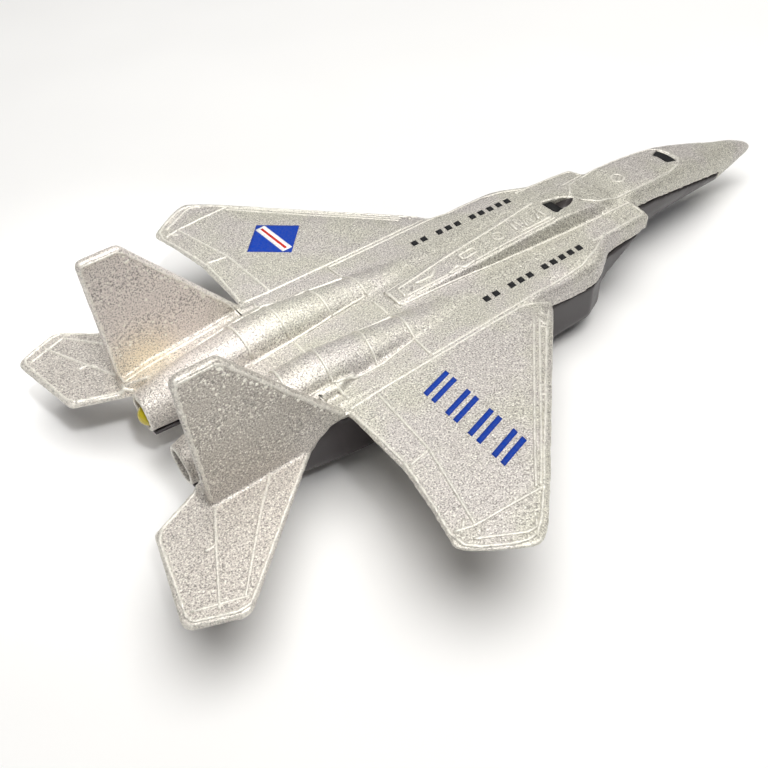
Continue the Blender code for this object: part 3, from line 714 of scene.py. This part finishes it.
def patch(tree, corners, lift=0.035, step=0.4):
    """Thin printed patch over four corners, laid on the surface."""
    a, b, c, d = (Vector(p) for p in corners)
    columns = max(1, round((b - a).length / step))
    rows = max(1, round((d - a).length / step))
    grid = []
    for i in range(rows + 1):
        for j in range(columns + 1):
            p = a.lerp(b, j / columns).lerp(d.lerp(c, j / columns), i / rows)
            place, normal = touch(tree, p.x, p.y)
            grid.append(place + normal * lift)
    wide = columns + 1
    count = len(grid)
    points = [tuple(p) for p in grid] + [(p.x, p.y, p.z - 0.12) for p in grid]
    faces = []
    for i in range(rows):
        for j in range(columns):
            k = i * wide + j
            quad = (k, k + 1, k + 1 + wide, k + wide)
            faces += [quad, tuple(q + count for q in reversed(quad))]
    border = [j for j in range(columns)] + [i * wide + columns for i in range(rows)]
    border += [rows * wide + j for j in range(columns, 0, -1)] + [i * wide for i in range(rows, 0, -1)]
    for p, q in zip(border, border[1:] + border[:1]):
        faces.append((q, p, p + count, q + count))
    return points, faces


def printed_marks(tree):
    """Generic marks in the place of the toy's printing: slanted bars, dashes and a banded diamond."""
    rear, front = -23.7, -19.3
    bars = []
    for k in range(4):
        middle = -(16.4 + 4.0 * k)
        for shift in (-0.72, 0.72):
            y = middle + shift
            bars.append(patch(tree, ((rear, y - 1.0), (rear, y - 0.25), (front, y + 1.0), (front, y + 0.25))))
    solid("wing_bars", bars, BLUE_INK)
    dashes = []
    for side, low, slope in ((-1, -7.3, 0.0), (1, -7.0, -0.045)):
        for k in (0, 1, 2.7, 3.7, 4.7, 6.4, 7.4, 8.4, 9.4, 10.4):
            x = low + 1.62 * k
            y = side * (7.9 + slope * (x - low))
            outline = ((x, y - 0.5), (x + 0.95, y - 0.5), (x + 1.1, y + 0.5), (x + 0.15, y + 0.5))
            dashes.append(patch(tree, outline))
    solid("deck_dashes", dashes, BLACK_INK)
    centre = Vector((-21.2, 22.4))
    along = Vector((-0.05, 1.0)).normalized()
    across = Vector((along.y, -along.x))

    def corner(u, v):
        return tuple(centre + along * u + across * v)

    half = 4.6
    diamond = patch(tree, (corner(-half, 0), corner(0, -half), corner(half, 0), corner(0, half)))
    solid("wing_diamond", [diamond], BLUE_INK)
    band = patch(tree, (corner(-3.6, -0.8), corner(-3.6, 0.8), corner(3.6, 0.8), corner(3.6, -0.8)), 0.06)
    solid("wing_diamond_band", [band], WHITE_INK)
    line = patch(tree, (corner(-3.2, -0.2), corner(-3.2, 0.2), corner(3.2, 0.2), corner(3.2, -0.2)), 0.08)
    solid("wing_diamond_line", [line], RED_INK)


# Plastic belly and small pieces


def plastic_belly():
    """The moulded belly, with slightly rubbed edges."""
    mesh = remeshed("lower_base", BELLY_VOXEL)
    edges = edge_array(mesh)
    points = relax(mesh_arrays(mesh), edges, 3)
    write_points(mesh, points)
    proud = convexity(mesh, points, edges, 4)
    set_wear(mesh, 0.5 * ease(proud, 0.03, 0.1))
    belly = finish_object("plastic_belly", mesh, CHARCOAL)
    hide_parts("lower_base")
    return belly


BELLY_LINES = [
    [(8.5, 5.2), (8.5, 9.6), (-13.5, 9.6), (-13.5, 5.2), (8.5, 5.2)],
    [(-15.0, 4.6), (-27.5, 4.6), (-38.5, 4.2)],
    [(-26.5, 6.2), (-26.5, 10.2), (-37.0, 9.8), (-37.0, 6.2), (-26.5, 6.2)],
    [(11.0, 1.2), (11.0, 4.0), (-8.5, 4.0), (-8.5, 1.2)],
]


def belly_lines(belly):
    tree = surface_tree(belly)
    parts = [ridge(tree, path, 0.35, 0.08, way="up", rough=0) for path in both_sides(BELLY_LINES)]
    for y in (7.4, -7.4):
        for x in (6.5, 2.0, -2.5, -7.0, -11.5):
            parts.append(stud(tree, x, y, 0.3, 0.1, "up"))
    solid("belly_lines", parts, CHARCOAL, wear=0.3)


def on_nacelle(points):
    """Lifts points made about height 0 on to the nacelle's sloping axis."""
    return [(x, y, z + float(at(x, NACELLE_TOP)) - NACELLE_R) for x, y, z in points]


def exhaust_plug():
    """Yellow plug: a shaft deep in the left nozzle and a small dome that stands out of it."""
    radius = NOZZLE_BORE - 0.16
    shaft = [(-48.7, 0.05), (-48.6, radius - 0.15), (-48.45, radius), (BORE_FLOOR - 0.3, radius),
             (BORE_FLOOR - 0.3, 0.05)]
    angles = [math.radians(a) for a in range(2, 91, 8)]
    dome = [(-50.1 - PLUG_DOME_R * math.cos(a), PLUG_DOME_R * math.sin(a)) for a in angles]
    dome += [(-48.9, PLUG_DOME_R), (-48.7, PLUG_DOME_R + 0.12), (-47.5, PLUG_DOME_R + 0.12), (-47.5, 0.05)]
    inboard, low = PLUG_DOME_OFFSET
    parts = [turned(shaft, (0, NACELLE_Y, 0), "X", 48)]
    parts.append(turned(dome, (0, NACELLE_Y + inboard, low), "X", 48))
    parts = [(on_nacelle(points), faces) for points, faces in parts]
    plug = solid("yellow_exhaust_plug", parts, YELLOW)
    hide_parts("exhaust_insert_left")


def toy_wheel(name, node, body, x, y):
    """Moulded wheel with a grooved tread, a dished face and a raised hub."""
    rim, tyre = WHEEL_R - 0.75, WHEEL_R
    half = [(WHEEL_HALF, AXLE_HOLE), (WHEEL_HALF, AXLE_HOLE + 0.4), (WHEEL_HALF - 0.1, AXLE_HOLE + 0.52),
            (WHEEL_HALF - 0.4, AXLE_HOLE + 0.6), (WHEEL_HALF - 0.45, rim - 0.15), (WHEEL_HALF - 0.36, rim),
            (WHEEL_HALF - 0.06, rim + 0.1), (WHEEL_HALF, rim + 0.22), (WHEEL_HALF - 0.02, tyre - 0.35),
            (WHEEL_HALF - 0.12, tyre - 0.12), (WHEEL_HALF - 0.35, tyre), (0.45, tyre), (0.4, tyre - 0.1),
            (0.3, tyre - 0.1), (0.25, tyre), (0.08, tyre), (0.05, tyre - 0.1)]
    profile = half + [(-u, r) for u, r in reversed(half)]
    wheel = solid(name, [turned(profile, (x, y, WHEEL_R - WING_TOP), "Y", 96)], BLACK, body)
    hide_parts(node)


def small_pieces():
    """The exhaust plug and the wheels, and a steel look for the wires and screws."""
    exhaust_plug()
    toy_wheel("toy_wheel_left", "main_wheel_left", "left_wheel", -20.5, 7.8)
    toy_wheel("toy_wheel_right", "main_wheel_right", "right_wheel", -20.5, -7.8)
    toy_wheel("toy_wheel_nose", "nose_wheel", "front_wheel", 24.5, 0.0)
    for node in ("main_axle", "nose_axle", "front_screw", "rear_screw"):
        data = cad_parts[node].data
        data.materials.clear()
        data.materials.append(STEEL)


# Studio


def studio():
    """Pale floor, soft light from above, a weak fill, and a spot on the tail."""
    mesh = bpy.data.meshes.new("studio_floor")
    mesh.from_pydata([(-3, -3, 0), (3, -3, 0), (3, 3, 0), (-3, 3, 0)], [], [(0, 1, 2, 3)])
    floor = bpy.data.objects.new("studio_floor", mesh)
    bpy.context.scene.collection.objects.link(floor)
    mesh.materials.append(floor_material())

    def area_light(name, place, target, size, watts, colour=(1, 1, 1)):
        data = bpy.data.lights.new(name, "AREA")
        data.shape = "DISK"
        data.size = size
        data.energy = watts
        data.color = colour
        light = bpy.data.objects.new(name, data)
        light.location = place
        light.rotation_euler = (Vector(place) - Vector(target)).to_track_quat("Z", "Y").to_euler()
        bpy.context.scene.collection.objects.link(light)

    area_light("top_softbox", (0.05, -0.05, 0.5), (0, 0, 0), 0.55, 3.3, (1.0, 0.985, 0.955))
    area_light("far_fill", (0.35, 0.45, 0.35), (0, 0, 0), 0.4, 0.2, (0.95, 0.97, 1.0))
    kicker = bpy.data.lights.new("tail_kicker", "SPOT")
    kicker.energy = 8.0
    kicker.spot_size = math.radians(7)
    kicker.spot_blend = 1.0
    kicker.shadow_soft_size = 0.03
    light = bpy.data.objects.new("tail_kicker", kicker)
    light.location = (-0.03, -0.18, 0.31)
    aim = Vector(light.location) - Vector((-0.045, 0.013, 0.020))
    light.rotation_euler = aim.to_track_quat("Z", "Y").to_euler()
    bpy.context.scene.collection.objects.link(light)
    world = bpy.data.worlds.new("studio_air")
    world.use_nodes = True
    background = world.node_tree.nodes["Background"]
    background.inputs["Color"].default_value = (0.97, 0.98, 1.0, 1.0)
    background.inputs["Strength"].default_value = 0.11
    bpy.context.scene.world = world
    bpy.context.scene.view_settings.view_transform = "Standard"


def photo_camera():
    """Camera at the photograph's viewing angle."""
    azimuth, elevation, roll = math.radians(-122.9), math.radians(45.5), math.radians(4.9)
    forward = Vector((-math.cos(azimuth) * math.cos(elevation), -math.sin(azimuth) * math.cos(elevation),
                      -math.sin(elevation)))
    right = forward.cross(Vector((0, 0, 1))).normalized()
    up = right.cross(forward)
    turn = Matrix.Rotation(roll, 3, forward)
    right, up = turn @ right, turn @ up
    data = bpy.data.cameras.new("photo_camera")
    data.lens = 39.3
    data.sensor_width = 36.0
    data.clip_start = 0.005
    camera = bpy.data.objects.new("photo_camera", data)
    camera.matrix_world = Matrix.Translation((-0.06447, -0.07066, 0.08385)) @ Matrix(
        (right, up, -forward)).transposed().to_4x4()
    bpy.context.scene.collection.objects.link(camera)
    bpy.context.scene.camera = camera


random.seed(5)
skin = cast_skin()
top_surface = surface_tree(skin)
panel_lines(top_surface)
canopy_seats(top_surface)
printed_marks(top_surface)
belly_lines(plastic_belly())
small_pieces()
studio()
photo_camera()
